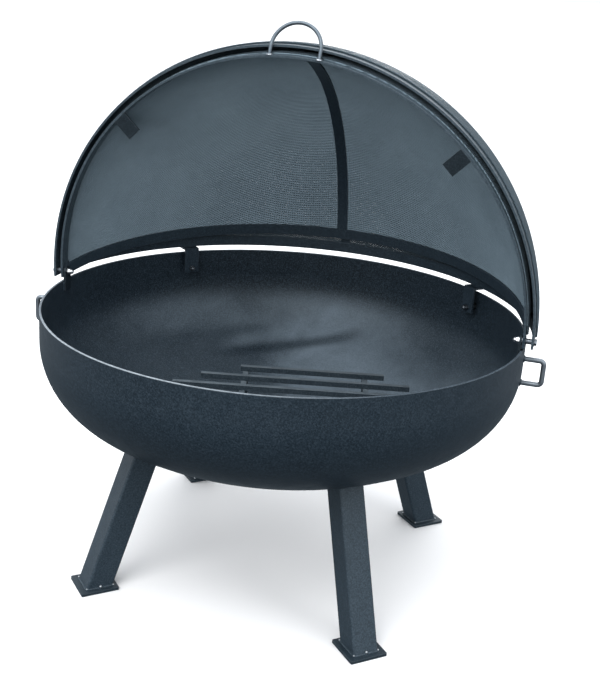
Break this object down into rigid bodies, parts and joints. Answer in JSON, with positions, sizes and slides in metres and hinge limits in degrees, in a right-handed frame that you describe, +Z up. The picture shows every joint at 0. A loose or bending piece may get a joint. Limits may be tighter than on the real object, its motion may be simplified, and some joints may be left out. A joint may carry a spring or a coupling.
{
  "type": "fire pit with grate",
  "caption": "Round steel fire pit bowl on splayed square-tube legs with foot plates, a domed mesh spark screen whose front half swings back on side pivots, and a lift-out log grate.",
  "frame": {"origin": "on the ground at the middle of the bounding box; the bowl's own axis is 12 mm in front of it because the rear screen handle sticks out behind", "axes": "+Z up, -Y to the open front, +X to the right along the screen's pivot axis"},
  "size_m": [1.1564, 1.0937, 1.2243],
  "materials": {
    "powder_coat": "satin dark blue-black powder coat with a fine texture",
    "wire_mesh": "woven wire screen, slate grey",
    "rod_steel": "pale satin round bar",
    "zinc_hardware": "bright zinc-plated bolts, washers, spacers and acorn nuts",
    "grate_steel": "dark coated square bar"
  },
  "bodies": {
    "base": {"bowl_shell": "powder_coat", "leg_rear_right": "powder_coat", "leg_rear_left": "powder_coat", "leg_front_left": "powder_coat", "leg_front_right": "powder_coat", "foot_plate_rear_right": "powder_coat", "foot_plate_rear_left": "powder_coat", "foot_plate_front_left": "powder_coat", "foot_plate_front_right": "powder_coat", "bowl_handle_left": "rod_steel", "bowl_handle_right": "rod_steel", "pivot_bracket_left": "powder_coat", "pivot_bracket_right": "powder_coat", "pivot_bolts": "zinc_hardware", "pivot_nuts": "zinc_hardware", "pivot_washers": "zinc_hardware", "pivot_spacers": "zinc_hardware", "rest_bracket_left": "powder_coat", "rest_bracket_right": "powder_coat", "rest_bolts": "zinc_hardware", "rest_spacers": "zinc_hardware", "rest_nuts": "zinc_hardware", "rear_base_ring": "powder_coat", "rear_arch": "powder_coat", "rear_rib": "powder_coat", "rear_mesh": "wire_mesh", "rear_handle": "rod_steel"},
    "front_screen": {"front_base_ring": "powder_coat", "front_arch": "powder_coat", "front_rib": "powder_coat", "front_mesh": "wire_mesh", "front_handle": "rod_steel", "front_tab_left": "powder_coat", "front_tab_right": "powder_coat"},
    "log_grate": {"grate_bar_1": "grate_steel", "grate_bar_2": "grate_steel", "grate_bar_3": "grate_steel", "grate_bar_4": "grate_steel", "grate_bar_5": "grate_steel", "grate_cross_left": "grate_steel", "grate_cross_right": "grate_steel", "grate_feet": "grate_steel"}
  },
  "joints": [
    {"name": "front_screen_hinge", "type": "hinge", "parent": "base", "child": "front_screen", "pos_m": [0, -0.042, 0.6257], "axis": [1, 0, 0], "range_deg": [0, 86.4]},
    {"name": "grate_lift", "type": "slide", "parent": "base", "child": "log_grate", "axis": [0, 0, 1], "range_m": [0, 0.25]}
  ]
}
